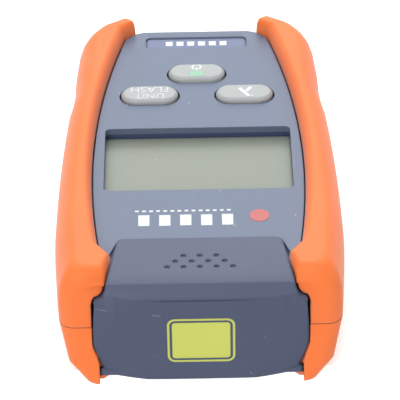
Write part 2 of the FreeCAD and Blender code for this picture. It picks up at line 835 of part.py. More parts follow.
def make_dust_cap():
    body = new_body("dust_cap")
    nose = "(hinge_reach + barrel_radius)"
    side = new_sketch(body, "side_profile", "YZ_Plane", "-bay_half")
    shoulder_rear = "hinge_height + sqrt(shoulder_top^2 - (hinge_reach - cap_rear)^2)"
    shoulder_front = "hinge_height + sqrt(shoulder_top^2 - barrel_radius^2)"
    draw_outline(side, [
        (f"-{nose}", "hinge_height", "barrel_radius * 1.0001"),
        ("-hinge_reach + barrel_radius", "hinge_height"),
        ("-hinge_reach + barrel_radius", "cap_cheek_low"),
        ("-cap_rear", "cap_cheek_low"),
        ("-cap_rear", shoulder_rear, "shoulder_top"),
        (f"-{nose}", shoulder_front),
    ])
    pad(body, side, "bay_half * 2", "block")

    brow = new_sketch(body, "brow_plan", "XY_Plane", "cap_side_high - 2")
    draw_mirrored(brow, [
        (tongue_side(f"-{nose}"), f"-{nose}"),
        (tongue_side("-cap_rear"), "-cap_rear"),
    ])
    pad(body, brow, "tongue_height - cap_side_high + 2", "brow")

    tongue = new_sketch(body, "tongue_plan", "XY_Plane", "tongue_height - tongue_thickness")
    draw_mirrored(tongue, [
        (tongue_side("-cap_rear"), "-cap_rear - 1"),
        (tongue_side("-tongue_reach"), "-tongue_reach"),
    ])
    pad(body, tongue, "tongue_thickness", "tongue")
    fillet(body, "tongue_corner", lambda p: near(p.y, -number("tongue_reach"))
           and near(abs(p.x), number("tongue_half")), "tongue_corners")

    for side_name, side_sign in (("right", 1), ("left", -1)):
        shoulder = new_sketch(body, f"outside_of_{side_name}_shoulder", "XZ_Plane", "hinge_reach",
                              "hinge_height")
        draw_sided(shoulder, outside_of(shoulder_profile(), "shoulder_top + 1"), side_sign)
        turn_cut(body, shoulder, f"{side_name}_shoulder_trim")
        outside = new_sketch(body, f"outside_of_{side_name}_edge", "XZ_Plane", "cap_rear - 1")
        draw_sided(outside, [("0", "-1"), ("bay_half + 1", "-1"), ("bay_half + 1", "cap_side_high")]
                   + against(cap_edge()), side_sign)
        pocket(body, outside, f"{nose} - cap_rear + 2", f"{side_name}_edge_trim", forward=True)

    bulge = new_sketch(body, "bulge_plan", "XY_Plane", "-1")
    draw_outline(bulge, [
        ("-bay_half - 1", f"-{nose} - 1"),
        ("bay_half + 1", f"-{nose} - 1"),
        ("bay_half + 1", "-cap_side_reach"),
        ("bay_half", "-cap_side_reach", "-cap_front_bow"),
        ("-bay_half", "-cap_side_reach"),
        ("-bay_half - 1", "-cap_side_reach"),
    ])
    pocket(body, bulge, "tongue_height + 2", "front_bulge", forward=True)

    facet = new_sketch(body, "facet_profile", "YZ_Plane", "-bay_half")
    draw_outline(facet, [
        ("-crease_reach", "tongue_height"),
        ("-crease_reach", "tongue_height + 1"),
        (f"-{nose} - 1", "tongue_height + 1"),
        (f"-{nose} - 1", "brow_height"),
        ("-brow_reach", "brow_height"),
        ("-facet_reach", "facet_height"),
    ])
    pocket(body, facet, "bay_half * 2", "brow_facets", forward=True)

    high = new_sketch(body, "high_cavity_plan", "XY_Plane", "tongue_height - tongue_thickness")
    draw_cavity(high, "cavity_high_half")
    pocket(body, high, "tongue_height - tongue_thickness - cavity_floor", "high_cavity")
    low = new_sketch(body, "low_cavity_plan", "XY_Plane", "cavity_side_top")
    draw_cavity(low, "cavity_half")
    pocket(body, low, "cavity_side_top - cavity_floor", "low_cavity")
    gap = new_sketch(body, "cheek_gap_plan", "XY_Plane", "cavity_floor + 0.5")
    draw_rectangle(gap, "-cheek_gap_half", "-hinge_reach + barrel_radius",
                   "cheek_gap_half", "-cap_rear + 1")
    pocket(body, gap, "cavity_floor", "cheek_gap")

    knuckle = new_sketch(body, "knuckle_section", "YZ_Plane", "-knuckle_half")
    draw_circle(knuckle, "-hinge_reach", "hinge_height", "knuckle_radius")
    pad(body, knuckle, "knuckle_half * 2", "knuckles")
    bore = new_sketch(body, "hinge_bore", "YZ_Plane", "-bay_half")
    draw_circle(bore, "-hinge_reach", "hinge_height", "pin_radius + pin_clearance")
    pocket(body, bore, "bay_half * 2", "hinge_bore_cut", forward=True)

    dimples = new_sketch(body, "dimple_plan", "XY_Plane", "tongue_height")
    for row in range(3):
        count = row + 3
        for place in range(count):
            x = f"dimple_pitch * {place - (count - 1) / 2}"
            draw_circle(dimples, x, f"-dimple_first - dimple_row_pitch * {row}", "dimple_radius")
    pocket(body, dimples, "dimple_depth", "grip_dimples")
    return body


def against(edge):
    """The same edge walked the other way, for an outline that lies outside it."""
    turned = []
    for index in reversed(range(len(edge))):
        arc = edge[index - 1][2:] if index > 0 else ()
        turned.append((edge[index][0], edge[index][1],
                       *(radius[1:] if radius.startswith("-") else "-" + radius for radius in arc)))
    return turned


def outside_of(profile, top):
    """The region between a shoulder profile and the widest place of the cap's bay."""
    low = profile[0][1]
    return [("bay_half + 1", low), ("bay_half + 1", top), (profile[-1][0], top)] + against(profile)


def draw_cavity(sketch, half):
    """A pocket open to the rear whose front follows the bulge of the cap."""
    draw_outline(sketch, [
        (f"-{half}", "-cap_rear + 1"),
        (f"-{half}", "-cap_side_reach + cap_wall - 0.3", "cap_front_bow - cap_wall"),
        (half, "-cap_side_reach + cap_wall - 0.3"),
        (half, "-cap_rear + 1"),
    ])


# ---------------------------------------------------------------- keys and display

def make_key(label, place):
    x, y = place
    body = new_body(label)
    top = "panel_height + key_stand"
    under = "panel_height - panel_wall - key_flange_gap"
    cap = new_sketch(body, "cap_plan", "XY_Plane", under)
    draw_slot(cap, x, y, "key_half_length", "key_half_width")
    pad(body, cap, f"{top} - ({under})", "cap")
    height = number(top)
    chamfer(body, "key_round", lambda p: near(p.z, height), "top_bevel")
    flange = new_sketch(body, "flange_plan", "XY_Plane", f"{under} - key_flange_thickness")
    draw_slot(flange, x, y, "(key_half_length + key_flange)", "(key_half_width + key_flange)")
    pad(body, flange, "key_flange_thickness", "flange")
    stem = new_sketch(body, "stem_plan", "XY_Plane", f"{under} - key_flange_thickness")
    draw_circle(stem, x, y, "stem_radius")
    foot = "board_top + dome_height + key_travel + dome_gap"
    before = body.Shape.Volume
    feature = pad(body, stem, f"{under} - key_flange_thickness - ({foot})", "stem")
    feature.Reversed = True
    doc.recompute()
    if not body.Shape.Volume > before:
        raise RuntimeError(f"{label}: the stem adds nothing")
    return body


def plate(label, low, high, bottom, thickness):
    """A rectangular plate."""
    body = new_body(label)
    plan = new_sketch(body, "plan", "XY_Plane", bottom)
    draw_rectangle(plan, low[0], low[1], high[0], high[1])
    pad(body, plan, thickness, "plate")
    return body


def make_display():
    under = "panel_height - panel_wall"
    gasket = plate("display_gasket",
                   ("-display_half - gasket_margin", "display_near - gasket_margin"),
                   ("display_half + gasket_margin", "display_far + gasket_margin"),
                   f"{under} - gasket_thickness", "gasket_thickness")
    hole = new_sketch(gasket, "opening", "XY_Plane", under)
    draw_rectangle(hole, "-display_half", "display_near", "display_half", "display_far")
    pocket(gasket, hole, "gasket_thickness * 2", "opening_cut")
    low = ("-display_half - glass_margin", "display_near - glass_margin")
    high = ("display_half + glass_margin", "display_far + glass_margin")
    glass_top = f"({under} - gasket_thickness)"
    glass = plate("display_glass", low, high, f"{glass_top} - glass_thickness", "glass_thickness")
    light = plate("display_backlight", low, high,
                  f"{glass_top} - glass_thickness - backlight_thickness", "backlight_thickness")
    strips = new_body("display_connector_strips")
    plan = new_sketch(strips, "plan", "XY_Plane", "board_top")
    for y in ("display_near - glass_margin", "display_far + glass_margin - strip_width"):
        draw_rectangle(plan, "-display_half + 2", y, "display_half - 2", f"{y} + strip_width")
    pad(strips, plan, f"{glass_top} - glass_thickness - backlight_thickness - board_top", "strips")
    return [gasket, glass, light, strips]


def make_circuit_board():
    body = new_body("circuit_board")
    plan = new_sketch(body, "plan", "XY_Plane", "board_top - board_thickness")
    draw_mirrored(plan, [
        ("board_half", "board_near"),
        ("board_half", "board_shoulder"),
        ("board_tail_half", "board_shoulder + 4"),
        ("board_tail_half", "board_tail"),
    ])
    pad(body, plan, "board_thickness", "board")
    holes = new_sketch(body, "screw_holes", "XY_Plane", "board_top")
    for x, y in post_places():
        draw_circle(holes, x, y, "board_screw_radius + screw_gap")
    pocket(body, holes, "board_thickness", "screw_hole_cuts")
    return body


def make_keypad():
    sheet_bottom = "board_top + dome_height + key_travel + dome_gap + 0.6"
    mat = plate("keypad_sheet", ("-board_tail_half", "board_shoulder + 5"),
                ("board_tail_half", "board_tail"), sheet_bottom, "mat_thickness")
    holes = new_sketch(mat, "stem_holes", "XY_Plane", f"{sheet_bottom} + mat_thickness")
    for x, y in KEYS.values():
        draw_circle(holes, x, y, "stem_radius + cell_gap")
    pocket(mat, holes, "mat_thickness", "stem_hole_cuts")
    legs = new_sketch(mat, "leg_plan", "XY_Plane", "board_top")
    for side in ("-", ""):
        draw_rectangle(legs, f"{side}board_tail_half" if side else "board_tail_half - 1.5",
                       "board_shoulder + 5",
                       "-board_tail_half + 1.5" if side else "board_tail_half", "board_tail")
    pad(mat, legs, f"{sheet_bottom} - board_top + mat_thickness / 2", "legs")

    domes = new_body("dome_switches")
    plan = new_sketch(domes, "plan", "XY_Plane", "board_top")
    for x, y in KEYS.values():
        draw_circle(plan, x, y, "dome_radius")
    pad(domes, plan, "dome_height", "domes")
    return [mat, domes]


# ---------------------------------------------------------------- ports

def turned(label, x, y_outer, z, steps):
    """Coaxial round steps along +Y; each step is (radius, length)."""
    body = new_body(label)
    place = y_outer
    for index, (radius, length) in enumerate(steps):
        section = new_sketch(body, f"section_{index}", "XZ_Plane", f"-({place}) - ({length})")
        draw_circle(section, x, z, radius)
        pad(body, section, length, f"step_{index}")
        place = f"{place} + {length}"
    return body


def make_port(label, x):
    """A ferrule adapter: smooth barrel, round flange behind the wall, through bore."""
    barrel = "port_reach - port_wall + case_wall"
    body = turned(label, x, "-port_reach", "port_height",
                  [("port_radius - 0.8", "1.2"), ("port_radius", f"{barrel} - 1.2"),
                   ("port_flange_radius", "port_flange_thickness")])
    bore = new_sketch(body, "ferrule_bore", "XZ_Plane", "port_reach")
    draw_circle(bore, x, "port_height", "ferrule_radius + ferrule_clearance")
    pocket(body, bore, "ferrule_depth", "ferrule_bore_cut")
    return body


def make_module(label, x, length):
    behind = "-port_wall + case_wall + port_flange_thickness"
    return turned(label, x, behind, "port_height",
                  [("module_radius", length), ("module_radius - 1.4", "module_tail")])


# ---------------------------------------------------------------- battery and fasteners

def make_cell(label, side):
    x = f"{side}(cell_radius + cell_gap / 2)"
    return turned(label, x, "cell_near", "cell_axis",
                  [("cell_radius", "cell_length - 1"), ("cell_radius * 0.52", "1")])


def make_contacts():
    body = new_body("battery_contacts")
    lower = new_sketch(body, "near_plate", "XZ_Plane", "-bay_near - contact_thickness")
    draw_rectangle(lower, "-cell_bay_half + cell_gap", "cell_floor", "cell_bay_half - cell_gap",
                   "cell_height - cell_gap")
    pad(body, lower, "contact_thickness", "near_plate_pad")
    upper = new_sketch(body, "far_plate", "XZ_Plane", "-tail_reach + case_wall")
    draw_rectangle(upper, "-cell_bay_half + cell_gap", "cell_floor", "cell_bay_half - cell_gap",
                   "cell_height - cell_gap")
    pad(body, upper, "contact_thickness", "far_plate_pad")
    springs = new_sketch(body, "near_springs", "XZ_Plane", "-cell_near")
    studs = new_sketch(body, "far_studs", "XZ_Plane", "-tail_reach + case_wall")
    for side in ("-", ""):
        x = f"{side}(cell_radius + cell_gap / 2)"
        draw_circle(springs, x, "cell_axis", "cell_radius * 0.6")
        draw_circle(studs, x, "cell_axis", "cell_radius * 0.5")
    pad(body, springs, "cell_near - bay_near - contact_thickness / 2", "near_spring_pads")
    pad(body, studs, "tail_reach - case_wall - cell_near - cell_length", "far_stud_pads")
    return body


def make_door():
    body = new_body("battery_door")
    plan = new_sketch(body, "plan", "XY_Plane", "back_height")
    draw_rectangle(plan, "-door_half", "door_near", "door_half", "tail_reach")
    pad(body, plan, "door_thickness", "plate")
    tongues = new_sketch(body, "tongues", "XY_Plane", "back_height + door_lip")
    draw_rectangle(tongues, "-door_half - door_tongue", "door_near", "door_half + door_tongue",
                   "tail_reach - 4")
    pad(body, tongues, "door_thickness - door_lip", "tongue_pad")
    grip = new_sketch(body, "grip_plan", "XY_Plane", "back_height")
    for row in range(5):
        y = f"tail_reach - 14 + 1.8 * {row}"
        draw_rectangle(grip, "-6", y, "6", f"{y} + 0.8")
    pocket(body, grip, "0.4", "grip_ribs", forward=True)
    return body


def make_screws(label, places, head_low, head, shank, length, down):
    body = new_body(label)
    heads = new_sketch(body, "head_plan", "XY_Plane", head_low)
    for x, y in places:
        draw_circle(heads, x, y, head[0])
    pad(body, heads, head[1], "heads")
    shank_low = f"{head_low} - ({length})" if down else f"{head_low} + {head[1]}"
    shanks = new_sketch(body, "shank_plan", "XY_Plane", shank_low)
    for x, y in places:
        draw_circle(shanks, x, y, shank)
    pad(body, shanks, length, "shanks")
    return body


# ---------------------------------------------------------------- assembly

parts = [make_front_case(), make_rear_case()]
upper_envelope = case_envelope("upper_envelope", True)
lower_envelope = case_envelope("lower_envelope", False)
for side_name, side_sign in (("right", 1), ("left", -1)):
    parts.append(make_front_bumper(f"bumper_front_{side_name}", side_sign, upper_envelope))
    parts.append(make_rear_bumper(f"bumper_rear_{side_name}", side_sign, lower_envelope))
parts.append(make_dust_cap())
pin = new_body("cap_hinge_pin")
pin_section = new_sketch(pin, "section", "YZ_Plane", "-pin_half_length")
draw_circle(pin_section, "-hinge_reach", "hinge_height", "pin_radius")
pad(pin, pin_section, "pin_half_length * 2", "pin")
parts.append(pin)
parts += [make_key(name, place) for name, place in KEYS.items()]
parts += make_display()
parts.append(make_circuit_board())
parts += make_keypad()
parts.append(make_port("detector_port", "port_side"))
parts.append(make_module("detector_module", "port_side", "module_length / 2"))
parts.append(make_port("fault_locator_port", "-port_side"))
parts.append(make_module("laser_module", "-port_side", "module_length"))
parts += [make_cell("battery_cell_left", "-"), make_cell("battery_cell_right", "")]
parts += [make_contacts(), make_door()]
parts.append(make_screws("case_screws", boss_places(), "screw_seat - screw_head_height",
                         ("screw_head_radius", "screw_head_height"), "screw_radius",
                         "screw_length", False))
parts.append(make_screws("board_screws", post_places(), "board_top",
                         ("board_screw_radius * 2", "board_screw_radius"), "board_screw_radius",
                         "board_screw_length", True))

doc.recompute()
for item in doc.Objects:
    if "Invalid" in item.State or "Error" in item.State:
        raise RuntimeError(f"{item.Label} is {item.State}")
for item in parts:
    if item.Shape.isNull() or not item.Shape.isValid():
        raise RuntimeError(f"{item.Label} has no valid shape")
os.makedirs("parts", exist_ok=True)
for item in parts:
    item.Shape.exportStep(f"parts/{item.Label}.step")
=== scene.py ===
# %% [markdown]
# # Dressing a pocket optical power meter
# The meter is a small hand tool that reads the light in a glass fibre. It has a blue-grey plastic case,
# four soft orange bumpers, a hinged dust cap over its two ports, a plain liquid crystal display and three
# rubber keys. The solids come from the CAD frame at their real size in metres. Each cell below dresses one
# piece or one finish.

# %% Load the frame
import bpy, bmesh, json, math
from mathutils import Matrix, Vector
from mathutils.bvhtree import BVHTree


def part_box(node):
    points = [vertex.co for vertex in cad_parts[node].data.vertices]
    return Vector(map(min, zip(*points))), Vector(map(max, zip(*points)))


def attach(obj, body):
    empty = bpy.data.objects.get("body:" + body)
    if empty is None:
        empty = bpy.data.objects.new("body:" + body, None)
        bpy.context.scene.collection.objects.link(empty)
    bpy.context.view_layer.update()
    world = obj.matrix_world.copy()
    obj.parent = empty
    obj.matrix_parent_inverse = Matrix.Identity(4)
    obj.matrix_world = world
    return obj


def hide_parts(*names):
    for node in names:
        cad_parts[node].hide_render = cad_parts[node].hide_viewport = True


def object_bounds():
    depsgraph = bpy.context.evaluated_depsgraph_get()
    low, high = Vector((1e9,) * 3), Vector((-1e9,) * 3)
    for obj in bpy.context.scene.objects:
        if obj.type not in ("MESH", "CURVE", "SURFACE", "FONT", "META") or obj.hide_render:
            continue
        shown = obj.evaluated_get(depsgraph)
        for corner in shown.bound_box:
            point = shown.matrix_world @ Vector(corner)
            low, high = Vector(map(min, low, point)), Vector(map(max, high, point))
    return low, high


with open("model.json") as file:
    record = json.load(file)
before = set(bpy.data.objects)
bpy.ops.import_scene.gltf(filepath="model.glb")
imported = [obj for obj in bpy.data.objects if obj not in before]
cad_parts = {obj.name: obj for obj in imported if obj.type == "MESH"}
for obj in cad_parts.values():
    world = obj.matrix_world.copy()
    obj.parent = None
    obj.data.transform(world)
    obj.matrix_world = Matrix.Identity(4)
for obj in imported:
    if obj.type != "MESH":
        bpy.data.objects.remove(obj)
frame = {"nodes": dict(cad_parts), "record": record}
MM = 0.001
cad_low, cad_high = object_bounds()
print("CAD box in mm:", [round(x / MM, 2) for x in cad_high - cad_low])

# %% [markdown]
# ## Camera
# The meter lies on its back and is seen from its cap end, from a long way off through a long lens, so that
# its sides hardly converge. The camera is placed by a target, a distance and an elevation, and then rolled
# a little.

# %% Camera
def aim_camera(target, distance, elevation, roll, lens, shift):
    back = Vector((0, -math.cos(elevation), math.sin(elevation)))
    right, up = Vector((1, 0, 0)), Vector((0, math.sin(elevation), math.cos(elevation)))
    turned_right = right * math.cos(roll) - up * math.sin(roll)
    turned_up = up * math.cos(roll) + right * math.sin(roll)
    data = bpy.data.cameras.new("camera")
    data.lens, data.sensor_width = lens, 36
    data.shift_x, data.shift_y = shift
    data.clip_start, data.clip_end = 0.05, 10
    camera = bpy.data.objects.new("camera", data)
    bpy.context.scene.collection.objects.link(camera)
    turn = Matrix((turned_right, turned_up, back)).transposed().to_4x4()
    camera.matrix_world = Matrix.Translation(target + back * distance) @ turn
    bpy.context.scene.camera = camera
    return camera

camera = aim_camera(target=Vector((0, -1, 15)) * MM, distance=0.7, elevation=math.radians(36),
                    roll=math.radians(1), lens=237.57, shift=(0.00325, -0.02125))
print("camera at", [round(x, 3) for x in camera.location])

# %% [markdown]
# ## Studio
# Product shots of small tools are lit by large soft boxes over a white sweep. One broad area lamp hangs
# overhead. A larger one behind lays a pale glare on the faces that look up, and a small one in front fills
# the cap. An area lamp shines along its own minus Z, so each is turned until that looks at the meter.

# %% Lamps
def area_lamp(name, place, size, power):
    data = bpy.data.lights.new(name, "AREA")
    data.shape, data.size, data.energy = "DISK", size, power
    lamp = bpy.data.objects.new(name, data)
    lamp.location = place
    lamp.rotation_euler = (-Vector(place)).to_track_quat("-Z", "Y").to_euler()
    bpy.context.scene.collection.objects.link(lamp)
    return lamp

lamps = [area_lamp("overhead_soft_box", place=(0.05, 0.25, 1.1), size=0.9, power=4.2),
         area_lamp("back_soft_box", place=(0.05, 1.0, 0.8), size=1.2, power=9.5),
         area_lamp("front_fill", place=(-0.35, -0.9, 0.7), size=0.6, power=5.6)]
print("lamps:", [lamp.name for lamp in lamps])

# %% [markdown]
# The world lights the rest evenly. Lamps and world together give a plain level, and the Standard view
# leaves it alone, so a colour renders about as it is written. Where the world is seen directly, or mirrored
# in metal or glass, it is full white, and the light that it throws on the meter stays at the lower level.

# %% World
def white_world(level):
    world = bpy.data.worlds.new("studio")
    world.use_nodes = True
    nodes, links = world.node_tree.nodes, world.node_tree.links
    seen, background = nodes.new("ShaderNodeLightPath"), nodes["Background"]
    direct, strength = nodes.new("ShaderNodeMath"), nodes.new("ShaderNodeMix")
    direct.operation = "MAXIMUM"
    links.new(seen.outputs["Is Camera Ray"], direct.inputs[0])
    links.new(seen.outputs["Is Glossy Ray"], direct.inputs[1])
    links.new(direct.outputs[0], strength.inputs["Factor"])
    strength.inputs["A"].default_value, strength.inputs["B"].default_value = level, 1
    links.new(strength.outputs["Result"], background.inputs["Strength"])
    background.inputs["Color"].default_value = (1, 1, 1, 1)
    bpy.context.scene.world = world

STUDIO_LEVEL = 0.42
bpy.context.scene.view_settings.view_transform = "Standard"
white_world(STUDIO_LEVEL)
print("world level:", STUDIO_LEVEL)

# %% [markdown]
# The meter lies on a white block with its cap just over the edge, because the open cap hangs lower than the
# back. A second floor runs on below the block. The paint is matt and keeps the meter's shadow. To the camera
# alone it also glows a little, which lifts it to the white of the background without lighting the meter.

# %% Floor
def floor_paint(albedo, roughness, glow_level):
    coat = bpy.data.materials.new("floor_paint")
    coat.use_nodes = True
    nodes, links = coat.node_tree.nodes, coat.node_tree.links
    matt = nodes["Principled BSDF"]
    matt.inputs["Base Color"].default_value = (albedo, albedo, albedo, 1)
    matt.inputs["Roughness"].default_value = roughness
    matt.inputs["Specular IOR Level"].default_value = 0
    seen, lift = nodes.new("ShaderNodeLightPath"), nodes.new("ShaderNodeMath")
    glow, total = nodes.new("ShaderNodeEmission"), nodes.new("ShaderNodeAddShader")
    lift.operation = "MULTIPLY"
    lift.inputs[1].default_value = glow_level
    links.new(seen.outputs["Is Camera Ray"], lift.inputs[0])
    links.new(lift.outputs[0], glow.inputs["Strength"])
    links.new(matt.outputs[0], total.inputs[0])
    links.new(glow.outputs[0], total.inputs[1])
    links.new(total.outputs[0], nodes["Material Output"].inputs["Surface"])
    return coat

def pale_floor(half, height, edge, drop, coat):
    """A block with its front edge along X and its top at height, and a floor a millimetre under it."""
    mesh = bmesh.new()
    middle, size = (0, edge + half / 2, height - drop / 2), (2 * half, half, drop, 1)
    bmesh.ops.create_cube(mesh, size=1, matrix=Matrix.Translation(middle) @ Matrix.Diagonal(size))
    below = Matrix.Translation((0, 0, height - drop - MM))
    bmesh.ops.create_grid(mesh, x_segments=1, y_segments=1, size=half, matrix=below)
    data = bpy.data.meshes.new("floor")
    mesh.to_mesh(data)
    mesh.free()
    data.materials.append(coat)
    floor = bpy.data.objects.new("floor", data)
    bpy.context.scene.collection.objects.link(floor)
    return floor

white_coat = floor_paint(albedo=0.9, roughness=0.9, glow_level=STUDIO_LEVEL)
floor = pale_floor(half=3, height=cad_low.z - 0.02 * MM, edge=cad_low.y + 6 * MM, drop=30 * MM,
                   coat=white_coat)
print("floor faces:", len(floor.data.polygons))

# %% [markdown]
# ## Shared finishes
# Moulded plastic, rubber and metal all show the same few effects, each at its own scale: a fine grain from
# the mould, specks of dust, hair scratches, a rubbed lighter edge, and painted shade that darkens the gaps.
# Each is one node group that puts out masks, values or a normal, so that every material can mix it in with
# its own numbers.

# %% Helpers for node groups
def new_group(name, inputs, outputs):
    group = bpy.data.node_groups.new(name, "ShaderNodeTree")
    for label, value in inputs.items():
        socket = group.interface.new_socket(name=label, in_out="INPUT", socket_type="NodeSocketFloat")
        socket.default_value = value
    for label, kind in outputs.items():
        group.interface.new_socket(name=label, in_out="OUTPUT", socket_type=kind)
    return group, group.nodes.new("NodeGroupInput"), group.nodes.new("NodeGroupOutput")

def math_node(tree, operation, first, second=None, clamp=False):
    node = tree.nodes.new("ShaderNodeMath")
    node.operation, node.use_clamp = operation, clamp
    for socket, value in zip(node.inputs, (first, second)):
        if hasattr(value, "is_output"):
            tree.links.new(value, socket)
        elif value is not None:
            socket.default_value = value
    return node.outputs[0]

def noise(tree, place, scale, detail=2, roughness=0.5):
    node = tree.nodes.new("ShaderNodeTexNoise")
    tree.links.new(place, node.inputs["Vector"])
    if hasattr(scale, "is_output"):
        tree.links.new(scale, node.inputs["Scale"])
    else:
        node.inputs["Scale"].default_value = scale
    node.inputs["Detail"].default_value, node.inputs["Roughness"].default_value = detail, roughness
    return node.outputs["Fac"]

# %% [markdown]
# The wall of a mould is eroded by sparks, and its pits leave a fine grain on what is moulded in it. One
# noise has about the size of the pits and gives a height. A second, broad one gives a tone that drifts over
# the piece, because no moulding is quite even.

# %% Mould grain
def mould_grain_group():
    group, given, made = new_group("mould_grain", {"Scale": 4000.0, "Broad Scale": 60.0},
                                   {"Height": "NodeSocketFloat", "Tone": "NodeSocketFloat"})
    place = group.nodes.new("ShaderNodeTexCoord").outputs["Object"]
    pits = noise(group, place, given.outputs["Scale"], detail=3, roughness=0.6)
    drift = noise(group, place, given.outputs["Broad Scale"], detail=3, roughness=0.55)
    group.links.new(pits, made.inputs["Height"])
    group.links.new(drift, made.inputs["Tone"])
    return group

GRAIN = mould_grain_group()
print("node group:", GRAIN.name)

# %% [markdown]
# Dust settles as single specks, and only on faces that look up. A Voronoi texture gives one round speck in
# each of its cells, the cell's random colour picks the few that stay, and the mask fades as the face turns
# away from the sky.

# %% Settled dust
def settled_dust_group(speck_size=0.16, share=0.1):
    group, given, made = new_group("settled_dust", {"Amount": 0.5, "Scale": 900.0},
                                   {"Mask": "NodeSocketFloat"})
    place = group.nodes.new("ShaderNodeTexCoord").outputs["Object"]
    cells = group.nodes.new("ShaderNodeTexVoronoi")
    group.links.new(place, cells.inputs["Vector"])
    group.links.new(given.outputs["Scale"], cells.inputs["Scale"])
    speck = math_node(group, "LESS_THAN", cells.outputs["Distance"], speck_size)
    chosen = group.nodes.new("ShaderNodeSeparateColor")
    group.links.new(cells.outputs["Color"], chosen.inputs["Color"])
    wanted = math_node(group, "MULTIPLY", given.outputs["Amount"], share)
    rare = math_node(group, "LESS_THAN", chosen.outputs[0], wanted)
    facing = group.nodes.new("ShaderNodeSeparateXYZ")
    group.links.new(group.nodes.new("ShaderNodeNewGeometry").outputs["Normal"], facing.inputs["Vector"])
    upward = math_node(group, "MULTIPLY", facing.outputs["Z"], 1.0, clamp=True)
    mask = math_node(group, "MULTIPLY", math_node(group, "MULTIPLY", speck, rare), upward)
    group.links.new(mask, made.inputs["Mask"])
    return group

DUST = settled_dust_group()
print("node group:", DUST.name)

# %% [markdown]
# A tool that slides in and out of a bag gets hair scratches in a few directions. A noise that is stretched
# along one axis crosses its middle value in long thin lines, which are the hairs. Two such noises are laid
# across each other, and a slower one keeps the hairs to a few patches.

# %% Hair scratches
def hair_scratches_group(turns=(0.4, 2.1), stretch=0.06, middle=0.5, hair_width=0.0025, patch_scale=70.0,
                         patch_level=0.62):
    group, given, made = new_group("hair_scratches", {"Amount": 0.5, "Scale": 120.0},
                                   {"Mask": "NodeSocketFloat"})
    place = group.nodes.new("ShaderNodeTexCoord").outputs["Object"]
    lines = []
    for turn in turns:
        mapping = group.nodes.new("ShaderNodeMapping")
        mapping.inputs["Rotation"].default_value = (0.2, 0.3, turn)
        mapping.inputs["Scale"].default_value = (1.0, stretch, 1.0)
        group.links.new(place, mapping.inputs["Vector"])
        ridge = noise(group, mapping.outputs[0], given.outputs["Scale"])
        crest = math_node(group, "ABSOLUTE", math_node(group, "SUBTRACT", ridge, middle))
        lines.append(math_node(group, "LESS_THAN", crest, hair_width))
    patch = math_node(group, "GREATER_THAN", noise(group, place, patch_scale), patch_level)
    both = math_node(group, "MULTIPLY", math_node(group, "MAXIMUM", *lines), patch)
    group.links.new(math_node(group, "MULTIPLY", both, given.outputs["Amount"]), made.inputs["Mask"])
    return group

SCRATCHES = hair_scratches_group()
print("node group:", SCRATCHES.name)

# %% [markdown]
# No moulded edge is a perfect corner, and the edges are rubbed first. The Bevel node rounds the normal near
# an edge and leaves the mesh alone. Where the rounded normal parts from the true one, there is an edge to
# lighten.

# %% Soft edges
def soft_edges_group(gain=3.0):
    group, given, made = new_group("soft_edges", {"Radius": 0.0003},
                                   {"Normal": "NodeSocketVector", "Mask": "NodeSocketFloat"})
    rounded = group.nodes.new("ShaderNodeBevel")
    rounded.samples = 6
    group.links.new(given.outputs["Radius"], rounded.inputs["Radius"])
    flat = group.nodes.new("ShaderNodeNewGeometry").outputs["Normal"]
    alike = group.nodes.new("ShaderNodeVectorMath")
    alike.operation = "DOT_PRODUCT"
    group.links.new(rounded.outputs[0], alike.inputs[0])
    group.links.new(flat, alike.inputs[1])
    edge = math_node(group, "SUBTRACT", 1.0, alike.outputs["Value"], clamp=True)
    group.links.new(rounded.outputs[0], made.inputs["Normal"])
    group.links.new(math_node(group, "MULTIPLY", edge, gain, clamp=True), made.inputs["Mask"])
    return group

EDGES = soft_edges_group()
print("node group:", EDGES.name)

# %% [markdown]
# The narrow gaps between pieces get painted shade. An ambient occlusion node with a short reach finds them,
# because there something is always close by, and its mask darkens the colour there.

# %% Painted shade in the gaps
def painted_gap_shade_group(falloff=1.5):
    group, given, made = new_group("painted_gap_shade", {"Reach": 0.0008}, {"Mask": "NodeSocketFloat"})
    hidden = group.nodes.new("ShaderNodeAmbientOcclusion")
    hidden.samples = 8
    group.links.new(given.outputs["Reach"], hidden.inputs["Distance"])
    closed = math_node(group, "SUBTRACT", 1.0, hidden.outputs["AO"], clamp=True)
    group.links.new(math_node(group, "POWER", closed, falloff), made.inputs["Mask"])
    return group

GAP_SHADE = painted_gap_shade_group()
print("node group:", GAP_SHADE.name)

# %% [markdown]
# Colours are easiest to choose as the six-digit codes of a paint card. The shader wants linear light, so
# each code is turned into it here. A mix node then lays one colour over another where a mask is bright.

# %% Paint codes and mixing
def paint(code):
    channels = [int(code[i:i + 2], 16) / 255 for i in (0, 2, 4)]
    linear = [c / 12.92 if c <= 0.04045 else ((c + 0.055) / 1.055) ** 2.4 for c in channels]
    return (*linear, 1)

def use_group(tree, group, **values):
    node = tree.nodes.new("ShaderNodeGroup")
    node.node_tree = group
    for label, value in values.items():
        node.inputs[label].default_value = value
    return node

def blended(tree, mask, under, over):
    mix = tree.nodes.new("ShaderNodeMix")
    mix.data_type = "RGBA"
    for value, socket in ((mask, mix.inputs["Factor"]), (under, mix.inputs["A"]), (over, mix.inputs["B"])):
        if hasattr(value, "is_output"):
            tree.links.new(value, socket)
        else:
            socket.default_value = value
    return mix.outputs["Result"]

# The second code is painted shade, mixed into the narrow gaps.
DUST_COLOUR, GAP_SHADE_COLOUR = paint("D8D4CC"), paint("1B2338")
print("dust in linear light:", [round(x, 3) for x in DUST_COLOUR])

# %% [markdown]
# A finish lays the effects over its colour: the tone of the moulding, rubbed edges, hair scratches and dust,
# in the order in which they come about on the real piece, and last the painted shade in the gaps. The grain
# also spreads the roughness and makes the bump. What is the same all over a piece, such as metal or a clear
# coat, is set on the shader's own sockets.

# %% A layered finish
EDGE_WEAR, HAIR_WEAR, DUST_COVER, GAP_SHADE_COVER = 0.35, 0.5, 0.8, 0.85

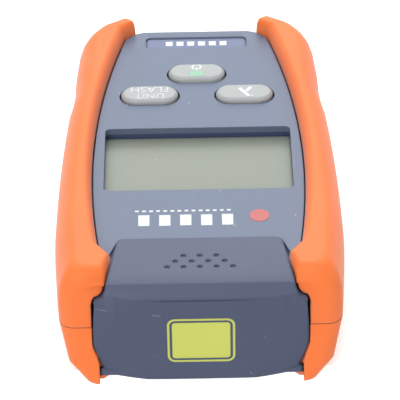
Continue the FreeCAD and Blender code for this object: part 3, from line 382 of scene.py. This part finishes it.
def finish(name, colour, deeper, rubbed, rough=(0.4, 0.5), grain=4000.0, depth=0.00001, dust=0.12,
           scratches=0.3, edge=0.0003, metallic=0.0, coat=0.0, specular=0.5, sheen=0.0, gap=0.0008):
    """Makes a material from three paint codes: its colour, a deeper tone, and the tone where it is rubbed."""
    material = bpy.data.materials.new(name + "_finish")
    material.use_nodes = True
    tree = material.node_tree
    shader = tree.nodes["Principled BSDF"]
    moulded = use_group(tree, GRAIN, Scale=grain)
    edges = use_group(tree, EDGES, Radius=edge)
    hairs = use_group(tree, SCRATCHES, Amount=scratches)
    specks = use_group(tree, DUST, Amount=dust)
    gap_shade = use_group(tree, GAP_SHADE, Reach=gap)
    tone = blended(tree, moulded.outputs["Tone"], paint(deeper), paint(colour))
    # Last in the loop, painted shade darkens the colour in the narrow gaps.
    for effect, cover, over in ((edges, EDGE_WEAR, paint(rubbed)), (hairs, HAIR_WEAR, paint(rubbed)),
                                (specks, DUST_COVER, DUST_COLOUR), (gap_shade, GAP_SHADE_COVER, GAP_SHADE_COLOUR)):
        mask = math_node(tree, "MULTIPLY", effect.outputs["Mask"], cover)
        tone = blended(tree, mask, tone, over)
    tree.links.new(tone, shader.inputs["Base Color"])
    spread = tree.nodes.new("ShaderNodeMapRange")
    tree.links.new(moulded.outputs["Height"], spread.inputs["Value"])
    spread.inputs["To Min"].default_value, spread.inputs["To Max"].default_value = rough
    tree.links.new(spread.outputs["Result"], shader.inputs["Roughness"])
    bump = tree.nodes.new("ShaderNodeBump")
    bump.inputs["Distance"].default_value = depth
    bump.inputs["Strength"].default_value = 1.0
    relief = math_node(tree, "SUBTRACT", moulded.outputs["Height"], hairs.outputs["Mask"])
    tree.links.new(relief, bump.inputs["Height"])
    tree.links.new(edges.outputs["Normal"], bump.inputs["Normal"])
    tree.links.new(bump.outputs["Normal"], shader.inputs["Normal"])
    shader.inputs["Metallic"].default_value = metallic
    shader.inputs["Coat Weight"].default_value = coat
    shader.inputs["Specular IOR Level"].default_value = specular
    shader.inputs["Sheen Weight"].default_value = sheen
    return material

# %% [markdown]
# ## The finishes of this meter
# The case is a blue-grey plastic and the door is nearly the same. The cap's colour is painted darker than
# the case's, as shade on its front face, and the cap is more scratched, because it is what hands and bags
# rub. The bumpers are a dense rubber with a matt, finely grained skin and a little sheen. The keys are
# silicone, and the blank display is smooth and only faintly glossy.

# %% Finishes seen from outside
case_plastic = finish("case_plastic", "66738B", "616E86", "8894AA", rough=(0.4, 0.5), specular=0.4)
door_plastic = finish("door_plastic", "616B85", "5C6680", "8891A8", rough=(0.42, 0.52))
# The cap's darker colour is painted shade for its front face.
cap_plastic = finish("cap_plastic", "4E566F", "49516A", "737C95", rough=(0.42, 0.52), scratches=0.6,
                     specular=0.35, edge=0.0009)
bumper_rubber = finish("bumper_rubber", "FF823F", "FF7A36", "FF9A66", rough=(0.5, 0.62), grain=5200.0,
                       depth=0.000012, specular=0.3, sheen=0.2, edge=0.0008, gap=0.0004)
key_silicone = finish("key_silicone", "AFB3B3", "A9ADAD", "C4C7C7", rough=(0.5, 0.6))
gasket_rubber = finish("gasket_rubber", "3E4C70", "384668", "56648A", rough=(0.5, 0.6))
display_glass = finish("display_glass", "8F968B", "8B9287", "9AA195", rough=(0.24, 0.32), depth=0.000002,
                       dust=0.05, scratches=0.1, specular=0.22)
print("outside:", [made.name for made in (case_plastic, door_plastic, cap_plastic, bumper_rubber,
                                          key_silicone, gasket_rubber, display_glass)])

# %% [markdown]
# Inside are a green laminate board, a milky backlight, bright metal ports, brass-coloured modules, steel
# screws and contacts, and two cells in glossy dark sleeves. The hinge pin's steel is blackened. These are
# seen only when the door or the cap is open, but they are finished in the same way.

# %% Finishes inside
backlight_plastic = finish("backlight_plastic", "E4E8E2", "DDE2DA", "F0F2EE")
strip_rubber = finish("strip_rubber", "C9A6A0", "B8928C", "DDC2BC")
board_laminate = finish("board_laminate", "1F6B3A", "1A5E32", "8FB07A", rough=(0.3, 0.42), coat=0.2)
steel = finish("steel", "B9BCBF", "A9ACB0", "DADCDE", rough=(0.22, 0.36), metallic=1.0)
blackened_steel = finish("blackened_steel", "3A3D42", "303338", "6E7278", rough=(0.3, 0.42), metallic=1.0)
port_metal = finish("port_metal", "C6C2B6", "B5B1A6", "E2E0D8", rough=(0.2, 0.34), metallic=1.0)
module_metal = finish("module_metal", "C9AC62", "B89B55", "E6D08E", rough=(0.22, 0.34), metallic=1.0)
cell_jacket = finish("cell_jacket", "2E3136", "26292E", "54585E", rough=(0.25, 0.35), coat=0.4)

# The frame names a material slot for every node, and these are the finishes for those slots.
FINISHES = dict(case_plastic=case_plastic, cap_plastic=cap_plastic, bumper_rubber=bumper_rubber,
                key_silicone=key_silicone, gasket_rubber=gasket_rubber, display_glass=display_glass,
                backlight_plastic=backlight_plastic, strip_rubber=strip_rubber,
                board_laminate=board_laminate, steel=steel, port_metal=port_metal,
                module_metal=module_metal, cell_jacket=cell_jacket, door_plastic=door_plastic)
print("finishes for slots:", len(FINISHES))

# %% [markdown]
# The two cells have a dark printed sleeve with a plain copper band near the button end, and bare metal
# ends. A band is a mask on one Object coordinate, mixed in over the colour that the finish already has.

# %% Bands round the cells
ALONG = 1  # the cells lie along Y, the second Object coordinate
# Where each band starts and ends along Y in millimetres, and its paint code.
BANDS = [(36, 44.5, "B8763A"), (35.2, 35.7, "D8DADC"), (49.2, 60, "C9CBCD"), (0, 5.9, "C9CBCD")]

def banded(material, low, high, colour):
    tree = material.node_tree
    colour_socket = tree.nodes["Principled BSDF"].inputs["Base Color"]
    place = tree.nodes.new("ShaderNodeSeparateXYZ")
    tree.links.new(tree.nodes.new("ShaderNodeTexCoord").outputs["Object"], place.inputs[0])
    past_low = math_node(tree, "GREATER_THAN", place.outputs[ALONG], low * MM)
    before_high = math_node(tree, "LESS_THAN", place.outputs[ALONG], high * MM)
    inside = math_node(tree, "MULTIPLY", past_low, before_high)
    tree.links.new(blended(tree, inside, colour_socket.links[0].from_socket, colour), colour_socket)

for low, high, code in BANDS:
    banded(cell_jacket, low, high, paint(code))
print("bands round the cells:", len(BANDS))

# %% [markdown]
# ## Smooth skins
# The CAD solids already have the right shape, so no piece is modelled twice. But a node arrives as loose
# triangles. A copy of it is welded, so that neighbouring faces share their corners, and flat areas are made
# one face again. It is then shaded smooth except where two faces meet at a sharp angle. The copy stands for
# the CAD node.

# %% Welded copies of the CAD nodes
SLOTS = {row["node"]: row["material_slot"] for row in frame["record"]["subparts"]}
BODIES = {node: body for body, nodes in frame["record"]["behaviour"]["bodies"].items() for node in nodes}
WELD = 0.002 * MM  # points nearer than this are one point

def welded_copy(node, flat=math.radians(0.2)):
    mesh = bmesh.new()
    mesh.from_mesh(frame["nodes"][node].data)
    bmesh.ops.remove_doubles(mesh, verts=mesh.verts, dist=WELD)
    bmesh.ops.dissolve_degenerate(mesh, edges=mesh.edges, dist=WELD)
    bmesh.ops.dissolve_limit(mesh, angle_limit=flat, verts=mesh.verts, edges=mesh.edges)
    return mesh

def place_piece(name, mesh, body, material, sharp=math.radians(32)):
    data = bpy.data.meshes.new(name)
    mesh.to_mesh(data)
    mesh.free()
    data.materials.clear()
    data.materials.append(material)
    data.shade_smooth()
    data.set_sharp_from_angle(angle=sharp)
    piece = bpy.data.objects.new(name, data)
    bpy.context.scene.collection.objects.link(piece)
    even = piece.modifiers.new("even_shading", "WEIGHTED_NORMAL")
    even.keep_sharp, even.weight = True, 80
    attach(piece, body)
    return piece

print("nodes:", len(SLOTS), "bodies:", len(set(BODIES.values())))

# %% [markdown]
# The four case screws are turned with a cross driver. The recess is carved out of each head with a boolean:
# two crossed blocks, the shape of the driver's tip, are taken away. Screws never stop at the same angle, so
# each cross is turned a little further than the last.

# %% Carving, and the cross in each screw head
def carved(mesh, cutter):
    pair = []
    for shape in (mesh, cutter):
        data = bpy.data.meshes.new("carving")
        shape.to_mesh(data)
        shape.free()
        pair.append(bpy.data.objects.new("carving", data))
        bpy.context.scene.collection.objects.link(pair[-1])
    cut = pair[0].modifiers.new("cut", "BOOLEAN")
    cut.object, cut.solver, cut.use_self = pair[1], "EXACT", True
    result = bmesh.new()
    result.from_object(pair[0], bpy.context.evaluated_depsgraph_get())
    for block in pair:
        bpy.data.objects.remove(block)
    return result

def with_cross_recess(node, reach=2.8, width=0.6, depth=0.9, first_turn=0.3, next_turn=0.7, flush=0.05):
    """Lengths are in millimetres, turns in radians. The heads are the faces flush with the lowest point."""
    screws, bits = welded_copy(node), bmesh.new()
    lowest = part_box(node)[0].z
    heads = [face.calc_center_median() for face in screws.faces]
    heads = [centre for centre in heads if abs(centre.z - lowest) < flush * MM]
    for i, head in enumerate(heads):
        for quarter in (0, math.pi / 2):
            turn = Matrix.Rotation(first_turn + next_turn * i + quarter, 4, "Z")
            size = Matrix.Diagonal((reach * MM, width * MM, 2 * depth * MM, 1))
            bmesh.ops.create_cube(bits, size=1, matrix=Matrix.Translation(head) @ turn @ size)
    print(node, "heads:", len(heads))
    return carved(screws, bits)

# %% [markdown]
# Every CAD node now gets its skin, on its own body and with the finish of its slot. The hinge pin is steel
# like the screws, but blackened, as small pins often are.

# %% Skins
skins = {}
for node, slot in SLOTS.items():
    material = blackened_steel if "pin" in node else FINISHES[slot]
    mesh = with_cross_recess(node) if node == "case_screws" else welded_copy(node)
    skins[node] = place_piece(node + "_skin", mesh, BODIES[node], material)
    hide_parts(node)
print("skins:", len(skins), "faces:", sum(len(s.data.polygons) for s in skins.values()))

# %% [markdown]
# ## Printed marks
# The legends are pad-printed ink, a few hundredths of a millimetre thick. The inks are nearly matt, and dust
# and wear show on them as they do on the plastic, so they are finishes like the others.

# %% Inks
white_ink = finish("white_ink", "E6EAF0", "DDE1E8", "F4F6FA", rough=(0.4, 0.5), dust=0.1)
red_ink = finish("red_ink", "C4605F", "BC5857", "D27A79", rough=(0.4, 0.5), dust=0.1)
green_ink = finish("green_ink", "95C4A6", "8CBC9E", "A9D1B7", rough=(0.4, 0.5), dust=0.1)
decal_ink = finish("decal_ink", "D2D866", "C8CE58", "E2E68C", rough=(0.3, 0.42), dust=0.1)
badge_blue = finish("badge_blue", "52638C", "4C5D86", "7181A6", rough=(0.3, 0.4), dust=0.1)
print("inks:", [ink.name for ink in (white_ink, red_ink, green_ink, decal_ink, badge_blue)])

# %% [markdown]
# Every mark is first drawn flat, in millimetres. A bar is a grid of one face, an arc is a short line spun
# round a centre, and words are a text curve made into a mesh. A mark that lies over a curved face has to
# bend with it, so it is cut into strips first.

# %% Flat shapes
def bar(mesh, x, y, width, height, turn=0.0):
    place = Matrix.Translation((x, y, 0)) @ Matrix.Rotation(turn, 4, "Z")
    size = Matrix.Diagonal((width, height, 1, 1))
    bmesh.ops.create_grid(mesh, x_segments=1, y_segments=1, size=0.5, matrix=place @ size)

def arc(mesh, x, y, radius, width, start, sweep, steps=24):
    ends = [mesh.verts.new((x + (radius + side * width / 2) * math.cos(start),
                            y + (radius + side * width / 2) * math.sin(start), 0)) for side in (-1, 1)]
    edge = mesh.edges.new(ends)
    bmesh.ops.spin(mesh, geom=[*ends, edge], cent=(x, y, 0), axis=(0, 0, 1), angle=sweep, steps=steps)

def words(mesh, text, height, x, y):
    curve = bpy.data.curves.new(text, "FONT")
    curve.body, curve.size, curve.align_x, curve.align_y = text, height, "CENTER", "CENTER"
    letters = bpy.data.objects.new(text, curve)
    flat = bpy.data.meshes.new_from_object(letters)
    flat.transform(Matrix.Translation((x, y, 0)))
    mesh.from_mesh(flat)
    bpy.data.objects.remove(letters)

def strips(mesh, axis, low, high, step):
    place = low
    while place < high:
        bmesh.ops.bisect_plane(mesh, geom=mesh.verts[:] + mesh.edges[:] + mesh.faces[:],
                               plane_co=Vector(axis) * place, plane_no=axis)
        place += step

# %% [markdown]
# A flat mark is then dropped on to the skin that carries it: a ray from each of its points finds the place
# on the skin, so the mark follows every curve. Last it is given the thickness of ink, half of it above the
# skin.

# %% Laying a mark on a skin
DOWN, INWARD = Vector((0, 0, -1)), Vector((0, 1, 0))
CLEAR = 0.2  # metres, well outside the meter, where the rays start

def lay_print(name, mesh, onto, aim, body, ink, thick=0.03):
    bmesh.ops.scale(mesh, verts=mesh.verts, vec=(MM, MM, MM))
    if aim == INWARD:
        upright = Matrix.Rotation(math.pi / 2, 3, "X")
        bmesh.ops.rotate(mesh, verts=mesh.verts, cent=(0, 0, 0), matrix=upright)
    tree = BVHTree.FromObject(onto, bpy.context.evaluated_depsgraph_get())
    missed = 0
    for vertex in mesh.verts:
        hit = tree.ray_cast(vertex.co - aim * CLEAR, aim)[0]
        if hit is None:
            missed += 1
        else:
            vertex.co = hit - aim * thick * 0.5 * MM
    bmesh.ops.remove_doubles(mesh, verts=mesh.verts, dist=WELD)
    bmesh.ops.recalc_face_normals(mesh, faces=mesh.faces)
    bmesh.ops.solidify(mesh, geom=mesh.faces[:], thickness=thick * MM)
    bmesh.ops.recalc_face_normals(mesh, faces=mesh.faces)
    print(name, "faces:", len(mesh.faces), "missed:", missed)
    return place_piece(name, mesh, body, ink)

# %% [markdown]
# The cap carries a plain yellow-green patch with a border. A rounded rectangle is inset twice: the first
# ring is the border, the second is cut out as the gap, and what is left inside is the field. It says
# nothing.

# %% Bordered patch on the cap
def rounded_corners(mesh, corner, segments):
    bmesh.ops.bevel(mesh, geom=mesh.verts[:], offset=corner, affect="VERTICES", segments=segments,
                    profile=0.5, material=-1)

def bordered_patch(half_width, low, high, corner, border, gap):
    mesh = bmesh.new()
    bar(mesh, 0, (low + high) / 2, 2 * half_width, high - low)
    rounded_corners(mesh, corner, segments=6)
    field = mesh.faces[:]
    bmesh.ops.inset_region(mesh, faces=field, thickness=border, use_even_offset=True, use_boundary=True)
    ring = bmesh.ops.inset_region(mesh, faces=field, thickness=gap, use_even_offset=True, use_boundary=True)
    bmesh.ops.delete(mesh, geom=ring["faces"], context="FACES")
    return mesh

patch = bordered_patch(half_width=8.4, low=7.0, high=20.6, corner=2.0, border=0.6, gap=0.6)
strips(patch, axis=(1, 0, 0), low=-8.3, high=8.4, step=0.7)
lay_print("cap_patch", patch, skins["dust_cap"], INWARD, "cap", decal_ink)

# %% [markdown]
# A tool that lives in a bag picks up marks. Three hairline scratches and a speck on the cap show the paler
# plastic under the skin. They are drawn like print, and are thinner than a line of ink.

# %% Hairline scratches on the cap
scratched = finish("scratched_plastic", "A3ABBD", "959DB0", "B8BFCE", rough=(0.5, 0.6))
HAIR_WIDTH = 0.11
# Each hair's place across the cap, its height above the table, its length and its turn in degrees.
HAIRS = [(-24.4, 22.3, 2.4, -9), (-10.9, 21.6, 2.0, -3), (12.3, 2.9, 0.9, -48), (15.7, 14.2, 0.25, 40)]

hairlines = bmesh.new()
for x, above, length, degrees in HAIRS:
    bar(hairlines, x, above, length, HAIR_WIDTH, math.radians(degrees))
lay_print("cap_hairlines", hairlines, skins["dust_cap"], INWARD, "cap", scratched,
          thick=0.02)

# %% [markdown]
# The middle key switches the power, one steps through the units and flashes the source, and one steps
# through the wavelengths. The words come from text curves. The wavelength sign is three strokes that touch
# but don't cross, and the power sign an open ring with a bar in its gap, so no two faces share one place.

# %% Drawing the key legends
unit_words, wave_sign, power_sign, power_field = bmesh.new(), bmesh.new(), bmesh.new(), bmesh.new()
words(unit_words, "UNIT", height=3.5, x=0, y=1.6)
words(unit_words, "FLASH", height=3.8, x=0, y=-1.5)

# Each stroke's middle, its length and width, and its turn in degrees.
WAVE_STROKES = [(0.05, 0.5, 4.9, 1.0, -57), (-1.18, -0.92, 2.4, 1.0, 55), (-2.1, 2.45, 0.7, 0.55, 0)]
for x, y, length, width, degrees in WAVE_STROKES:
    bar(wave_sign, x, y, length, width, math.radians(degrees))

arc(power_sign, x=0, y=-1.7, radius=1.15, width=0.6, start=math.radians(120), sweep=math.radians(300))
bar(power_sign, x=0, y=-0.75, width=0.6, height=1.4)
bar(power_field, x=0, y=1.5, width=4.0, height=2.6)
print("legend faces:", [len(mesh.faces) for mesh in (unit_words, wave_sign, power_sign, power_field)])

# %% [markdown]
# The keys are read from the far end of the meter, so each legend is turned half round before it is put over
# the middle of its key. A key's top is flat with a bevelled rim all round. A legend that reaches the rim
# bends down over it, so it is cut into fine strips both ways.

# %% Laying the key legends
def turned_half(mesh):
    bmesh.ops.rotate(mesh, verts=mesh.verts, cent=(0, 0, 0), matrix=Matrix.Rotation(math.pi, 3, "Z"))
    return mesh

def put(mesh, x, y):
    bmesh.ops.translate(mesh, verts=mesh.verts, vec=(x, y, 0))
    return mesh

def key_centre(node):
    low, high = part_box(node)
    return (low.x + high.x) / 2 / MM, (low.y + high.y) / 2 / MM

LEGENDS = [("unit_legend", unit_words, "unit_key", "unit_button", white_ink),
           ("wavelength_legend", wave_sign, "wavelength_key", "wavelength_button", white_ink),
           ("power_legend", power_sign, "power_key", "power_button", white_ink),
           ("power_field", power_field, "power_key", "power_button", green_ink)]
for name, drawn, node, body, ink in LEGENDS:
    x, y = key_centre(node)
    for axis in ((1, 0, 0), (0, 1, 0)):
        strips(drawn, axis, low=-6.0, high=6.1, step=0.4)
    lay_print(name, put(turned_half(drawn), x, y), skins[node], DOWN, body, ink)

# %% [markdown]
# Between the display and the cap the face carries a plain level scale in white, a row of blocks and a row of
# dashes, with one red marker. It says nothing. A row is one bar repeated at a step, which keeps the marks
# even.

# %% Level scale on the face
def bar_row(mesh, count, first, step, y, width, height):
    for number in range(count):
        bar(mesh, first - number * step, y, width, height)

def print_on_case(name, mesh, ink, onto=skins["front_case"], thick=0.03):
    return lay_print(name, mesh, onto, DOWN, "case", ink, thick)

scale_marks, red_marker = bmesh.new(), bmesh.new()
bar_row(scale_marks, count=5, first=7.2, step=5.3, y=-31.1, width=2.9, height=4.6)
bar_row(scale_marks, count=14, first=7.6, step=1.8, y=-27.1, width=1.0, height=0.75)
print_on_case("level_scale", scale_marks, white_ink)

marker_place = Matrix.Translation((15.3, -29.6, 0))
bmesh.ops.create_circle(red_marker, cap_ends=True, segments=40, radius=2.6, matrix=marker_place)
print_on_case("level_marker", red_marker, red_ink)

# %% [markdown]
# In the recess at the far end lies a dark blue badge with a row of small white dashes. It is a thin plate,
# so it is laid on the case like print, only thicker and with its corners rounded first. The dashes are then
# printed on the plate and not on the case.

# %% Badge
badge_plate, badge_marks = bmesh.new(), bmesh.new()
bar(badge_plate, x=0, y=51.65, width=27.2, height=4.9)
rounded_corners(badge_plate, corner=0.9, segments=4)
plate = print_on_case("badge_plate", badge_plate, badge_blue, thick=0.1)
bar_row(badge_marks, count=6, first=7.5, step=3.0, y=51.7, width=2.0, height=2.2)
print_on_case("badge_dashes", badge_marks, white_ink, onto=plate)

# %% [markdown]
# Last, the view layer is brought up to date.

# %% Update the view layer
bpy.context.view_layer.update()
